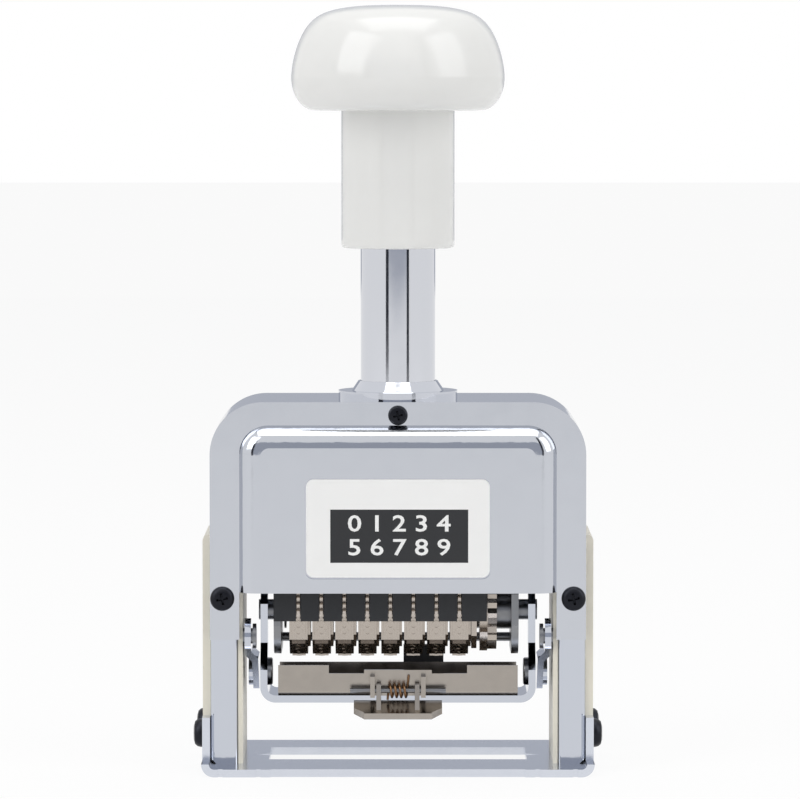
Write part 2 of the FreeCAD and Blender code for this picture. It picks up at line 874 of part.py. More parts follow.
def head_plate(name, start, finish):
    """One side plate of the head, with ears for the comb and the lower tie rod."""
    body = new_body(name)
    bottom = "axle_height - head_round"
    back_ear = "rod_back + 1.7"
    profile = [
        ("-head_half", "bridge_bottom"),
        ("-head_half", "comb_top + 2.3"),
        ("-head_ear", "comb_top + 0.3"),
        ("-head_ear", "comb_bottom - 1"),
        ("-head_round", bottom, "0.75 * head_round"),
        (back_ear, bottom, "1.4"),
        (back_ear, "axle_height + 6", "3"),
        ("head_half", "bridge_bottom"),
    ]
    holes = [
        ("ring", "0", "axle_height", "axle_radius"),
        ("ring", "rod_back", "rod_height", "rod_radius"),
        ("ring", "upper_rod_back", "upper_rod_height", "rod_radius"),
    ]
    add(body, "YZ_Plane", [profile] + holes, start, finish)
    return body


head_plate("left_head_plate", "-head_left", "head_sheet - head_left")
head_plate("right_head_plate", "head_right - head_sheet", "head_right")
rod("wheel_shaft", "axle_radius", "-axle_half", "axle_half", "0", "axle_height")
members = [
    rod("lower_tie_rod", "rod_radius", "-head_left", "head_right", "rod_back", "rod_height"),
    rod("upper_tie_rod", "rod_radius", "-head_left", "head_right", "upper_rod_back", "upper_rod_height"),
]
group("tie_rods", members)

# The black comb stands before the wheels, and a toothed pawl shows in each slot.
comb = new_body("detent_comb")
comb_outline = [
    ("-head_left", "comb_bottom"),
    ("comb_end", "comb_bottom"),
    ("comb_end", "comb_top - 1.4"),
    ("head_right", "comb_top - 1.4"),
    ("head_right", "comb_top"),
    ("-head_left", "comb_top"),
]
add(comb, "XZ_Plane", [comb_outline], "-(head_ear + comb_sheet)", "-head_ear")
slots = []
wheel_places = []
for index in range(int(number("wheel_count"))):
    middle = "(first_wheel + %d * wheel_pitch)" % index
    wheel_places.append(middle)
    left_edge = middle + " - comb_slot / 2"
    right_edge = middle + " + comb_slot / 2"
    slots.append(box_outline(left_edge, "comb_bottom - 1", right_edge, "comb_top - 0.8"))
cut(comb, "XZ_Plane", slots, "-(head_ear + comb_sheet) - 1", "1 - head_ear")
members = []
for index, middle in enumerate(wheel_places):
    pawl = new_body("detent_pawl_%d" % (index + 1))
    tip = "-(head_ear + comb_sheet + 0.3)"
    root = "-(head_ear + comb_sheet - 0.3)"
    edge = [("-head_ear", "comb_bottom + 0.3"), ("-head_ear", "comb_top - 0.8"), (tip, "comb_top - 0.8")]
    for tooth in range(4):
        edge.append((root, "comb_top - %.1f" % (1.9 + 1.3 * tooth)))
        edge.append((tip, "comb_top - %.1f" % (2.1 + 1.3 * tooth)))
    edge[-1] = (root, "comb_bottom + 0.3")
    add(pawl, "YZ_Plane", [edge], middle + " - pawl_sheet / 2", middle + " + pawl_sheet / 2")
    members.append(pawl)
group("detent_pawls", members)


def polar(radius, degrees, side="0"):
    """A point in the plane of the wheels, from its radius, angle and sidestep."""
    angle = "%g deg" % (degrees % 360)
    across = "(%s) * cos(%s) - (%s) * sin(%s)" % (radius, angle, side, angle)
    up = "axle_height + (%s) * sin(%s) + (%s) * cos(%s)" % (radius, angle, side, angle)
    return (across, up)


def ratchet_outline(radius):
    """Ten raked teeth, one for each figure."""
    corners = []
    for tooth in range(10):
        corners.append(polar(radius, 36 * tooth - 72))
        corners.append(polar("0.87 * (%s)" % radius, 36 * tooth - 66))
    return corners


def figure_wheel(name, middle):
    """A ten-sided wheel with a raised face for each figure and its own ratchet."""
    body = new_body(name)
    bore = ("ring", "0", "axle_height", "axle_radius + running_gap")
    sides = []
    faces = []
    for step in range(10):
        sides.append(polar("wheel_flat / cos(18 deg)", 36 * step - 72))
        facing = 36 * step - 90
        faces.append([
            polar("wheel_flat - 0.4", facing, "-figure_height / 2"),
            polar("figure_face", facing, "-figure_height / 2"),
            polar("figure_face", facing, "figure_height / 2"),
            polar("wheel_flat - 0.4", facing, "figure_height / 2"),
        ])
    right = middle + " + wheel_width / 2"
    add(body, "YZ_Plane", [sides, bore], middle + " - wheel_width / 2", right)
    add(body, "YZ_Plane", faces, middle + " - figure_width / 2", middle + " + figure_width / 2")
    add(body, "YZ_Plane", [ratchet_outline("ratchet_radius"), bore], right, right + " + ratchet_width")
    return body


for index, middle in enumerate(wheel_places):
    figure_wheel("figure_wheel_%d" % (index + 1), middle)

# The repeat discs right of the wheels turn together; the rocker's arm runs between.
disc_bore = ("ring", "0", "axle_height", "axle_radius + running_gap")
ratchet_start = wheel_places[-1] + " + wheel_width / 2 + ratchet_width + disc_gap"
arm_start = ratchet_start + " + 0.7 * disc_width + disc_gap"
cam_start = arm_start + " + rocker_sheet + disc_gap"
dial_start = cam_start + " + disc_width"
spacer_start = dial_start + " + dial_width + disc_gap"
ratchet = new_body("repeat_ratchet")
ratchet_end = ratchet_start + " + 0.7 * disc_width"
add(ratchet, "YZ_Plane", [ratchet_outline("disc_radius"), disc_bore], ratchet_start, ratchet_end)
cam = new_body("repeat_cam")
add(cam, "YZ_Plane", [("ring", "0", "axle_height", "cam_radius"), disc_bore], cam_start, dial_start)
notch = [polar("cam_radius + 1", 200, "-1.2"), polar("cam_radius + 1", 200, "1.2")]
notch += [polar("cam_radius - 1.6", 200, "0.8"), polar("cam_radius - 1.6", 200, "-0.8")]
cut(cam, "YZ_Plane", [notch], cam_start + " - 1", dial_start + " + 1")
dial = new_body("repeat_dial")
knurl = []
for step in range(24):
    knurl.append(polar("disc_radius", 15 * step))
    knurl.append(polar("disc_radius - 0.5", 15 * step + 7.5))
add(dial, "YZ_Plane", [knurl, disc_bore], dial_start, dial_start + " + dial_width")
spacer = new_body("end_spacer")
spacer_rings = [
    ("ring", "0", "axle_height", "1.9 * axle_radius"),
    ("ring", "0", "axle_height", "axle_radius"),
]
add(spacer, "YZ_Plane", spacer_rings, spacer_start, "head_right - head_sheet")

# The pawl rocker swings about the wheel shaft and carries a finger for each wheel.
left_arm_start = "head_sheet - head_left + 0.5"
rocker_parts = []


def rocker_piece(name, corners, holes, start, finish):
    """A flat piece of the rocker, drawn along its arm and then swung to its rest."""
    body = new_body(name)
    add(body, "YZ_Plane", [corners] + holes, start, finish)
    body.Placement.Rotation = FreeCAD.Rotation(FreeCAD.Vector(1, 0, 0), 1)
    body.setExpression("Placement.Rotation.Angle", bound("rocker_rest * 1 deg"))
    bind(body, Base_z="axle_height")
    return body


arm_outline = [
    ("-rocker_hub", "-rocker_hub", "0.95 * rocker_hub"),
    ("rocker_reach + 1.5", "-1.7", "1.5"),
    ("rocker_reach + 1.5", "1.7", "1.5"),
    ("-rocker_hub", "rocker_hub", "0.95 * rocker_hub"),
]
arm_holes = [("ring", "0", "0", "axle_radius + running_gap"), ("ring", "rocker_reach", "0", "rod_radius")]
rocker_piece("left_rocker_arm", arm_outline, arm_holes, left_arm_start, left_arm_start + " + rocker_sheet")
rocker_piece("right_rocker_arm", arm_outline, arm_holes, arm_start, arm_start + " + rocker_sheet")
rod(
    "rocker_rod",
    "rod_radius",
    left_arm_start,
    arm_start + " + rocker_sheet",
    "rocker_reach * cos(rocker_rest * 1 deg)",
    "axle_height + rocker_reach * sin(rocker_rest * 1 deg)",
)
finger_outline = [
    ("finger_tip", "-0.5"),
    ("rocker_reach - 0.6", "-1.7"),
    ("rocker_reach + 1.5", "-1.5"),
    ("rocker_reach + 1.5", "1.5"),
    ("rocker_reach - 0.6", "1.5"),
    ("finger_tip", "0"),
]
members = []
for index, middle in enumerate(wheel_places):
    finger = rocker_piece(
        "pawl_finger_%d" % (index + 1),
        finger_outline,
        arm_holes[1:],
        middle + " - finger_width / 2",
        middle + " + finger_width / 2",
    )
    members.append(finger)
group("pawl_fingers", members)

# The ink bracket is a bent U that hangs on the ends of the wheel shaft.
bracket = new_body("ink_bracket")
arm_top = "axle_height + arm_width / 2"
arm_face = "bracket_half - bracket_sheet"
u_profile = [
    ("-bracket_half", arm_top),
    ("-bracket_half", "bracket_bottom", "bracket_bend"),
    ("bracket_half", "bracket_bottom", "bracket_bend"),
    ("bracket_half", arm_top),
    (arm_face, arm_top),
    (arm_face, "bracket_bottom + bracket_sheet", "bracket_bend - bracket_sheet"),
    ("-(%s)" % arm_face, "bracket_bottom + bracket_sheet", "bracket_bend - bracket_sheet"),
    ("-(%s)" % arm_face, arm_top),
]
add(bracket, "XZ_Plane", [u_profile], "-bracket_depth / 2", "bracket_depth / 2")
past = "bracket_half + 1"
for side in (-1, 1):
    waist = [
        ("%d * (bracket_depth / 2 + 1)" % side, "rivet_height + 1"),
        ("%d * bracket_depth / 2" % side, "rivet_height + 1"),
        ("%d * arm_width / 2" % side, "rivet_height + 6"),
        ("%d * arm_width / 2" % side, "axle_height + 1.4"),
        ("%d * arm_width / 4" % side, arm_top),
        ("%d * arm_width / 4" % side, arm_top + " + 1"),
        ("%d * (bracket_depth / 2 + 1)" % side, arm_top + " + 1"),
    ]
    cut(bracket, "YZ_Plane", [waist], "-(%s)" % past, past)
bracket_bores = [
    ("ring", "0", "axle_height", "axle_radius + running_gap"),
    ("ring", "0", "rivet_height", "rivet_head / 2"),
]
cut(bracket, "YZ_Plane", bracket_bores, "-(%s)" % past, past)

members = []
for side, rotation in ((-1, FACE_RIGHT), (1, FACE_LEFT)):
    rivet = new_body("ink_rivet_%d" % (len(members) + 1))
    turn(rivet, [
        ("0", "-bracket_sheet"),
        ("rivet_head / 2", "-bracket_sheet"),
        ("rivet_head / 2", "0"),
        ("rivet_head", "0"),
        ("rivet_head", "rivet_rise", "0.4"),
        ("0", "rivet_rise"),
    ])
    members.append(set_at(rivet, rotation, "%d * (%s)" % (side, arm_face), "0", "rivet_height"))
group("ink_rivets", members)

# The nickel tray lies in the bracket, open above; a black catch stands behind it.
tray = new_body("ink_tray")
tray_floor = "bracket_bottom + bracket_sheet"
half = "tray_depth / 2"
tray_profile = [
    ("-(%s)" % half, "tray_front"),
    ("-(%s)" % half, tray_floor, "0.8"),
    (half, tray_floor, "0.8"),
    (half, "tray_back"),
    (half + " - tray_sheet", "tray_back"),
    (half + " - tray_sheet", tray_floor + " + tray_sheet"),
    ("tray_sheet - " + half, tray_floor + " + tray_sheet"),
    ("tray_sheet - " + half, "tray_front"),
]
add(tray, "YZ_Plane", [tray_profile], "-tray_half", "tray_half")
end_wall = box_outline("-(%s) + tray_sheet / 2" % half, tray_floor + " + tray_sheet / 2", half + " - tray_sheet / 2", "tray_back - 1")
add(tray, "YZ_Plane", [end_wall], "-tray_half", "tray_sheet - tray_half")
add(tray, "YZ_Plane", [end_wall], "tray_half - tray_sheet", "tray_half")
dip = box_outline("-tray_notch / 2", "tray_front - tray_notch_drop", "tray_notch / 2", "tray_front + 1")
cut(tray, "XZ_Plane", [dip], "-(%s) - 1" % half, "tray_sheet + 0.5 - (%s)" % half)
catch = new_body("tray_catch")
catch_plan = box_outline("catch_left", half, "catch_left + catch_width", half + " + catch_depth")
add(catch, "XY_Plane", [catch_plan], "catch_bottom", "catch_top")


def ink_link(name, side):
    """A joggled flat link: the upper end hangs on the leg, the lower end is riveted."""
    strip = new_body(name + "_strip")
    bend = "(link_pivot_height + rivet_height) / 2"
    upper = "%d * link_upper" % side
    upper_far = "%d * (link_upper + link_sheet)" % side
    lower = "%d * link_lower" % side
    lower_far = "%d * (link_lower + link_sheet)" % side
    zigzag = [
        (upper, "link_pivot_height + 9"),
        (upper, bend + " + 1.2"),
        (lower, bend + " - 0.4"),
        (lower, "rivet_height - 9"),
        (lower_far, "rivet_height - 9"),
        (lower_far, bend + " - 1.2"),
        (upper_far, bend + " + 0.4"),
        (upper_far, "link_pivot_height + 9"),
    ]
    add(strip, "XZ_Plane", [zigzag], "-link_pivot_front - 9", "9")
    blank = new_body(name + "_blank")
    drop = "(link_pivot_height - rivet_height)"
    run = "sqrt(link_pivot_front ^ 2 + %s ^ 2)" % drop
    ahead = ("link_end * link_pivot_front / %s" % run, "link_end * %s / %s" % (drop, run))
    corners = []
    for end, sign in ((0, -1), (1, 1)):
        base_across = "-link_pivot_front" if end == 0 else "0"
        base_up = "link_pivot_height" if end == 0 else "rivet_height"
        for lean in (sign, -sign):
            across = "%s + %d * %s + %d * %s" % (base_across, sign, ahead[0], lean, ahead[1])
            up = "%s - %d * %s + %d * %s" % (base_up, sign, ahead[1], lean, ahead[0])
            corners.append((across, up, "0.97 * link_end"))
    eye = ("ring", "-link_pivot_front", "link_pivot_height", "link_pin_radius + running_gap")
    low, high = ("link_lower - 1", "link_upper + link_sheet + 1")
    if side < 0:
        low, high = ("-link_upper - link_sheet - 1", "1 - link_lower")
    add(blank, "YZ_Plane", [corners, eye], low, high)
    plain = doc.addObject("Part::MultiCommon", name + "_plain")
    plain.Shapes = [strip, blank]
    button = rod(
        name + "_button",
        "rivet_head",
        "link_lower + link_sheet / 2" if side > 0 else "-(link_lower + link_sheet + rivet_rise)",
        "link_lower + link_sheet + rivet_rise" if side > 0 else "-(link_lower + link_sheet / 2)",
        "0",
        "rivet_height",
    )
    whole = doc.addObject("Part::MultiFuse", name)
    whole.Label = name
    whole.Shapes = [plain, button]
    return whole


ink_link("left_ink_link", -1)
ink_link("right_ink_link", 1)

# The clip bracket is a folded sheet before the tray, with two ears for the pin.
clip = new_body("clip_bracket")
wall = "-(%s)" % half
ear_face = "clip_ear_half - clip_sheet"
clip_plan = [
    ("-clip_ear_half", "-(clip_front + 1.2)"),
    ("-(%s)" % ear_face, "-(clip_front + 1.2)"),
    ("-(%s)" % ear_face, wall + " - tray_sheet"),
    (ear_face, wall + " - tray_sheet"),
    (ear_face, "-(clip_front + 1.2)"),
    ("clip_ear_half", "-(clip_front + 1.2)"),
    ("clip_ear_half", wall),
    ("-clip_ear_half", wall),
]
add(clip, "XY_Plane", [clip_plan], tray_floor, "clip_top - clip_bar")
top_bar = box_outline("-clip_half", wall + " - 2 * tray_sheet", "clip_half", wall)
add(clip, "XY_Plane", [top_bar], "clip_top - clip_bar", "clip_top")
pin_hole = [("ring", "-clip_front", "clip_pin_height", "clip_pin_radius")]
cut(clip, "YZ_Plane", pin_hole, "-clip_ear_half - 1", "clip_ear_half + 1")
rod("clip_pin", "clip_pin_radius", "-clip_pin_half", "clip_pin_half", "-clip_front", "clip_pin_height")

# The lever is a sprung plate with two ears, pulled forward to free the tray.
lever = new_body("clip_lever")
lever_sheet = "clip_sheet"
heel = "-(bracket_depth / 2 + 0.5)"
lever_profile = [
    (heel, "lever_rear_height"),
    (heel, "lever_rear_height + " + lever_sheet),
    ("1.2 - lip_front", "lip_height + " + lever_sheet),
    ("-lip_front", "lip_height + 1.2 * " + lever_sheet),
    ("-lip_front", "lip_height"),
    ("1.6 - lip_front", "lip_height - 0.3"),
]
add(lever, "YZ_Plane", [lever_profile], "-lever_half", "lever_half")
for side in (-1, 1):
    trim = [
        ("%d * lever_lip_half" % side, "-lip_front - 1"),
        ("%d * lever_lip_half" % side, "1.7 - lip_front"),
        ("%d * lever_half" % side, "3.4 - lip_front"),
        ("%d * (lever_half + 1)" % side, "3.4 - lip_front"),
        ("%d * (lever_half + 1)" % side, "-lip_front - 1"),
    ]
    cut(lever, "XY_Plane", [trim], "lip_height - 2", "lever_rear_height + 2")
ear_profile = [
    ("-clip_front - 1.2", "clip_pin_height + 1.3"),
    ("1.1 - clip_front", "clip_pin_height + 1.3"),
    ("1.5 - clip_front", "lever_rear_height + 0.5"),
    ("-clip_front - 1.5", "lip_height + 1.2"),
]
pin_bore = ("ring", "-clip_front", "clip_pin_height", "clip_pin_radius + running_gap")
add(lever, "YZ_Plane", [ear_profile, pin_bore], "lever_ear_half - clip_sheet", "lever_ear_half")
add(lever, "YZ_Plane", [ear_profile, pin_bore], "-lever_ear_half", "clip_sheet - lever_ear_half")


def helix_point(turned):
    """A point of the torsion spring and its direction, after some turns."""
    angle = 2 * math.pi * turned
    radius = number("coil_radius")
    pitch = number("coil_pitch")
    start = -pitch * number("coil_turns") / 2
    across = start + pitch * turned
    back = number("-clip_front") + radius * math.cos(angle)
    height = number("clip_pin_height") + radius * math.sin(angle)
    way = FreeCAD.Vector(pitch / (2 * math.pi), -radius * math.sin(angle), radius * math.cos(angle))
    return FreeCAD.Vector(across, back, height), way.normalize()


def biarc(first, first_way, last, last_way):
    """Two arcs that leave and arrive along the given directions."""
    span = last - first
    both = first_way + last_way
    spread = 2 * (1 - first_way.dot(last_way))
    along = span.dot(both)
    reach = (math.sqrt(along * along + spread * span.dot(span)) - along) / spread
    near = first + first_way * reach
    far = last - last_way * reach
    joint = (near + far) * 0.5
    arcs = []
    for start, corner, end in ((first, near, joint), (joint, far, last)):
        half_angle = (start - corner).getAngle(end - corner) / 2
        middle = corner_arc(start, corner, end, reach * math.tan(half_angle))[1]
        arcs.append(Part.Arc(start, middle, end).toShape())
    return arcs


# The torsion spring is one wire: four turns about the pin and two straight tails.
quarters = 4 * int(number("coil_turns"))
path = []
stations = []
for quarter in range(quarters + 1):
    stations.append(helix_point(quarter / 4))
tail = 2.2 * number("coil_radius")
first, first_way = stations[0]
last, last_way = stations[-1]
path.append(Part.LineSegment(first - first_way * tail * 0.7, first).toShape())
for before, after in zip(stations, stations[1:]):
    path += biarc(before[0], before[1], after[0], after[1])
path.append(Part.LineSegment(last, last + last_way * tail).toShape())
wire_radius = number("coil_wire") / 2
section = Part.Circle(first - first_way * tail * 0.7, first_way, wire_radius).toShape()
coil = doc.addObject("Part::Feature", "clip_spring")
coil.Label = "clip_spring"
coil.Shape = Part.Wire(path).makePipeShell([Part.Wire([section])], True)
turn_gap = number("coil_pitch") * math.cos(math.atan(number("coil_pitch / (2 * pi * coil_radius)")))
print("least gap between the spring's turns: %.2f mm" % (turn_gap - 2 * wire_radius))


def check_and_write():
    """Every object has to be sound before any file is written."""
    doc.recompute()
    for thing in doc.Objects:
        if "Invalid" in thing.State or "Error" in thing.State:
            raise ValueError("%s: %s" % (thing.Label, thing.State))
    os.makedirs("parts", exist_ok=True)
    nested = set()
    for thing in doc.Objects:
        if not thing.isDerivedFrom("PartDesign::Body"):
            for used in thing.OutList:
                nested.add(used.Name)
    written = 0
    for thing in doc.Objects:
        whole = thing.isDerivedFrom("PartDesign::Body") or thing.isDerivedFrom("Part::Feature")
        if not whole or thing.Name in nested or thing.getParentGeoFeatureGroup() is not None:
            continue
        shape = thing.Shape
        if shape.isNull() or not shape.isValid():
            raise ValueError("%s has no valid shape" % thing.Label)
        shape.exportStep("parts/%s.step" % thing.Label)
        written += 1
    print(written, "nodes written")


check_and_write()
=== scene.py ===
import math

import bpy
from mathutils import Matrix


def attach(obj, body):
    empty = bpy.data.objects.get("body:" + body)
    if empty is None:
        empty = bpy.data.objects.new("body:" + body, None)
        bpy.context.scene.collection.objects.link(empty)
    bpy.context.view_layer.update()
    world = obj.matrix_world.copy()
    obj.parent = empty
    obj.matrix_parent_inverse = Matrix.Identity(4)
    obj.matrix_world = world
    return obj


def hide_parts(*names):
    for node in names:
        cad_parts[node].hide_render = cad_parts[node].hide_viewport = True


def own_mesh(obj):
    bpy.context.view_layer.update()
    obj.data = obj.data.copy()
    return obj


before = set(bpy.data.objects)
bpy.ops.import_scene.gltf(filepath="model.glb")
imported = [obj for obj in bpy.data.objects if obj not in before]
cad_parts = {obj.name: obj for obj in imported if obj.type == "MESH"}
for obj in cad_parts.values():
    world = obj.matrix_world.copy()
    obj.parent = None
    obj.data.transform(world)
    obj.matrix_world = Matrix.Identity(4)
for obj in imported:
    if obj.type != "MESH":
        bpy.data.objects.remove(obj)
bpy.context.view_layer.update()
MM = 0.001

# Base plate: it is one blank of 1.5 mm sheet steel, pierced with the printing window and
# folded up at both ends, then plated in bright nickel and chrome. The fold and the
# pierced edges are crisp, so the pressed shape from the CAD is kept.


def linear(code):
    """A colour written as sRGB hex, as the linear value that a shader wants."""
    parts = []
    for start in (1, 3, 5):
        level = int(code[start : start + 2], 16) / 255
        parts.append(level / 12.92 if level <= 0.04045 else ((level + 0.055) / 1.055) ** 2.4)
    return (*parts, 1)


def add_node(tree, kind, settings, links):
    """One shader node, with its settings and socket values, wired to its sources."""
    node = tree.nodes.new(kind)
    for name, value in settings.items():
        if isinstance(name, str) and hasattr(node, name):
            setattr(node, name, value)
        else:
            node.inputs[name].default_value = value
    for name, source in links.items():
        tree.links.new(source, node.inputs[name])
    return node


def start_material(name):
    """A material with its shader and the place of each point on the machine."""
    material = bpy.data.materials.new(name)
    material.use_nodes = True
    shader = material.node_tree.nodes["Principled BSDF"]
    place = add_node(material.node_tree, "ShaderNodeTexCoord", {}, {}).outputs["Object"]
    return material, material.node_tree, shader, place


def plate_metal(name, colour, roughness, ripple, grain):
    """Bright plating on pressed steel: a faint ripple of the sheet and fine polishing haze."""
    material, tree, shader, place = start_material(name)
    shader.inputs["Metallic"].default_value = 1
    shader.inputs["Base Color"].default_value = linear(colour)
    haze = add_node(tree, "ShaderNodeTexNoise", {"Scale": grain, "Detail": 5}, {"Vector": place})
    spread = add_node(
        tree,
        "ShaderNodeMapRange",
        {"To Min": roughness * 0.7, "To Max": roughness * 1.5},
        {"Value": haze.outputs["Fac"]},
    )
    tree.links.new(spread.outputs["Result"], shader.inputs["Roughness"])
    wave = add_node(tree, "ShaderNodeTexNoise", {"Scale": 90, "Detail": 1}, {"Vector": place})
    relief = add_node(
        tree,
        "ShaderNodeBump",
        {"Strength": ripple, "Distance": 0.0004},
        {"Height": wave.outputs["Fac"]},
    )
    tree.links.new(relief.outputs["Normal"], shader.inputs["Normal"])
    return material


def dress(material, *names):
    """Gives CAD nodes that keep their own shape a finish."""
    for name in names:
        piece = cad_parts[name]
        if not piece.material_slots:
            piece.data.materials.append(material)
        for slot in piece.material_slots:
            slot.material = material


# Bright plate over an unpolished sheet: pale, a little blue, soft-edged reflections.
base_plating = plate_metal("bright plated base steel", "#d6dae3", 0.16, 0.12, 400)
dress(base_plating, "base_plate")

# Legs and liners: two channels of pressed steel, chromed, carry the housing. Their outer faces are closed
# with an ivory moulding, and a thin ivory liner on the inside guides the sliding head.
leg_chrome = plate_metal("chromed leg channel", "#c6cad3", 0.07, 0.06, 300)
dress(leg_chrome, "left_leg", "right_leg")


def moulded(name, colour, roughness, texture, depth):
    """Moulded plastic, with the fine eroded texture and slight unevenness of its tool."""
    material, tree, shader, place = start_material(name)
    shader.inputs["IOR"].default_value = 1.5
    patch = add_node(tree, "ShaderNodeTexNoise", {"Scale": 60, "Detail": 3}, {"Vector": place})
    tone = add_node(tree, "ShaderNodeValToRGB", {}, {"Fac": patch.outputs["Fac"]})
    base = linear(colour)
    tone.color_ramp.elements[0].color = (*[0.965 * level for level in base[:3]], 1)
    tone.color_ramp.elements[1].color = base
    tree.links.new(tone.outputs["Color"], shader.inputs["Base Color"])
    worn = add_node(
        tree,
        "ShaderNodeMapRange",
        {"To Min": roughness * 0.85, "To Max": roughness * 1.2},
        {"Value": patch.outputs["Fac"]},
    )
    tree.links.new(worn.outputs["Result"], shader.inputs["Roughness"])
    grit = add_node(tree, "ShaderNodeTexNoise", {"Scale": texture, "Detail": 4}, {"Vector": place})
    relief = add_node(
        tree,
        "ShaderNodeBump",
        {"Strength": depth, "Distance": 0.0001},
        {"Height": grit.outputs["Fac"]},
    )
    tree.links.new(relief.outputs["Normal"], shader.inputs["Normal"])
    return material


# ABS with an eroded surface of about 0.4 mm: matt, warm, a soft sheen on the edges.
ivory = moulded("ivory moulded ABS", "#e6e1d2", 0.4, 2600, 0.25)
dress(ivory, "left_side_cover", "right_side_cover", "left_inner_guide", "right_inner_guide")

# Housing: the arched shell over the head is rolled from 1.5 mm steel, polished and chromed. The
# turned bush in its roof guides the plunger tube.
shell_chrome = plate_metal("polished chrome shell", "#c9ccd4", 0.06, 0.05, 300)
dress(shell_chrome, "housing", "shaft_bush")

# Front and rear cover: each is a deep-drawn pan with a flat rim, chromed. One finish runs over
# its rim, its flanks and its flat panel.
cover_chrome = plate_metal("chromed drawn cover", "#c6c9d0", 0.09, 0.05, 300)
dress(cover_chrome, "front_cover", "rear_cover")

# Screws: pan-head machine screws of blackened steel with a cross recess: three hold each cover,
# and two at each end hold the base's flanges to the legs.


def select_only(piece):
    """Makes one piece the only one that the next operator acts on."""
    bpy.ops.object.select_all(action="DESELECT")
    piece.select_set(True)
    bpy.context.view_layer.objects.active = piece


def turned(name, rings, facets):
    """A round piece, drawn out ring by ring from (radius, height) pairs in millimetres."""
    bpy.ops.object.select_all(action="DESELECT")
    radius, height = rings[0]
    bpy.ops.mesh.primitive_circle_add(vertices=facets, radius=radius * MM, location=(0, 0, height * MM))
    piece = bpy.context.object
    piece.name = name
    bpy.ops.object.mode_set(mode="EDIT")
    for next_radius, next_height in rings[1:]:
        rise = (next_height - height) * MM
        bpy.ops.mesh.extrude_edges_move(TRANSFORM_OT_translate={"value": (0, 0, rise)})
        if next_radius == 0:
            bpy.ops.mesh.merge(type="CENTER")
            break
        grow = next_radius / radius
        bpy.ops.transform.resize(value=(grow, grow, 1), center_override=(0, 0, next_height * MM))
        radius, height = next_radius, next_height
    bpy.ops.mesh.select_all(action="SELECT")
    bpy.ops.mesh.remove_doubles(threshold=0.000005)
    bpy.ops.mesh.select_all(action="DESELECT")
    bpy.ops.mesh.select_non_manifold()
    bpy.ops.mesh.edge_face_add()
    bpy.ops.mesh.select_all(action="SELECT")
    bpy.ops.mesh.normals_make_consistent(inside=False)
    bpy.ops.object.mode_set(mode="OBJECT")
    select_only(piece)
    bpy.ops.object.transform_apply()
    return piece


def fit(piece, body, slot_name, material, *replaced):
    """Fixes a finished piece to its body, with its place in its mesh and its finish on."""
    select_only(piece)
    bpy.ops.object.transform_apply()
    bpy.ops.object.shade_smooth_by_angle(angle=math.radians(32))
    piece.data.materials.clear()
    piece.data.materials.append(material)
    if replaced:
        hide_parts(*replaced)
    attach(piece, body)


def cross_screw(radius, rise, place, turn):
    """A screw head with its cross recess, seated at a place and turned to face out."""
    rings = [
        (radius, 0),
        (radius, 0.3 * rise),
        (0.95 * radius, 0.62 * rise),
        (0.8 * radius, 0.88 * rise),
        (0.5 * radius, rise),
        (0, rise),
    ]
    head = turned("screw_head", rings, 40)
    for quarter in (0, 90):
        bpy.ops.object.select_all(action="DESELECT")
        bpy.ops.mesh.primitive_cube_add(size=1, location=(0, 0, rise * MM))
        blade = bpy.context.object
        blade.scale = (1.25 * radius * MM, 0.26 * radius * MM, 1.5 * rise * MM)
        blade.rotation_euler = (0, 0, math.radians(quarter + 12))
        bpy.ops.object.transform_apply()
        # The blade narrows towards the bottom of the recess.
        bpy.ops.object.mode_set(mode="EDIT")
        bpy.ops.mesh.select_all(action="DESELECT")
        bpy.ops.object.mode_set(mode="OBJECT")
        for corner in blade.data.vertices:
            corner.select = corner.co.z < rise * MM
        bpy.ops.object.mode_set(mode="EDIT")
        bpy.ops.transform.resize(value=(0.55, 0.55, 1), center_override=(0, 0, 0))
        bpy.ops.object.mode_set(mode="OBJECT")
        select_only(head)
        carve = head.modifiers.new("recess", "BOOLEAN")
        carve.operation = "DIFFERENCE"
        carve.object = blade
        bpy.ops.object.modifier_apply(modifier="recess")
        bpy.data.objects.remove(blade)
    head.rotation_euler = turn
    head.location = [step * MM for step in place]
    select_only(head)
    bpy.ops.object.transform_apply()
    return head


def screw_set(name, node, places):
    """Several screw heads of one node, joined as one piece."""
    heads = [cross_screw(*place) for place in places]
    select_only(heads[0])
    for head in heads[1:]:
        head.select_set(True)
    bpy.ops.object.join()
    heads[0].name = name
    fit(heads[0], "frame", "black_screws", black_oxide, node)


quarter_turn = math.radians(90)
facing = {
    "front": (quarter_turn, 0, 0),
    "back": (-quarter_turn, 0, 0),
    "right": (0, quarter_turn, 0),
    "left": (0, -quarter_turn, 0),
}
# Black oxide: nearly black, satin.
black_oxide = plate_metal("black oxide screw steel", "#2b2c31", 0.34, 0.1, 900)
cover_rim = 15.0
lobe_screw = 34
lobe_height = 33.8
for name, side, depth in (("front", "front", -cover_rim), ("rear", "back", cover_rim)):
    screw_set(
        name + "_screw_heads",
        name + "_cover_screws",
        [
            (1.9, 1.3, (0, depth, 69.35), facing[side]),
            (2.35, 1.3, (-lobe_screw, depth, lobe_height), facing[side]),
            (2.35, 1.3, (lobe_screw, depth, lobe_height), facing[side]),
        ],
    )
flange_face = 37.9
flange_height = 6.9
flange_screws = []
for side, across in (("left", -flange_face), ("right", flange_face)):
    for depth in (-8.5, 8.5):
        flange_screws.append((2.8, 1.9, (across, depth, flange_height), facing[side]))
screw_set("flange_screw_heads", "side_screws", flange_screws)

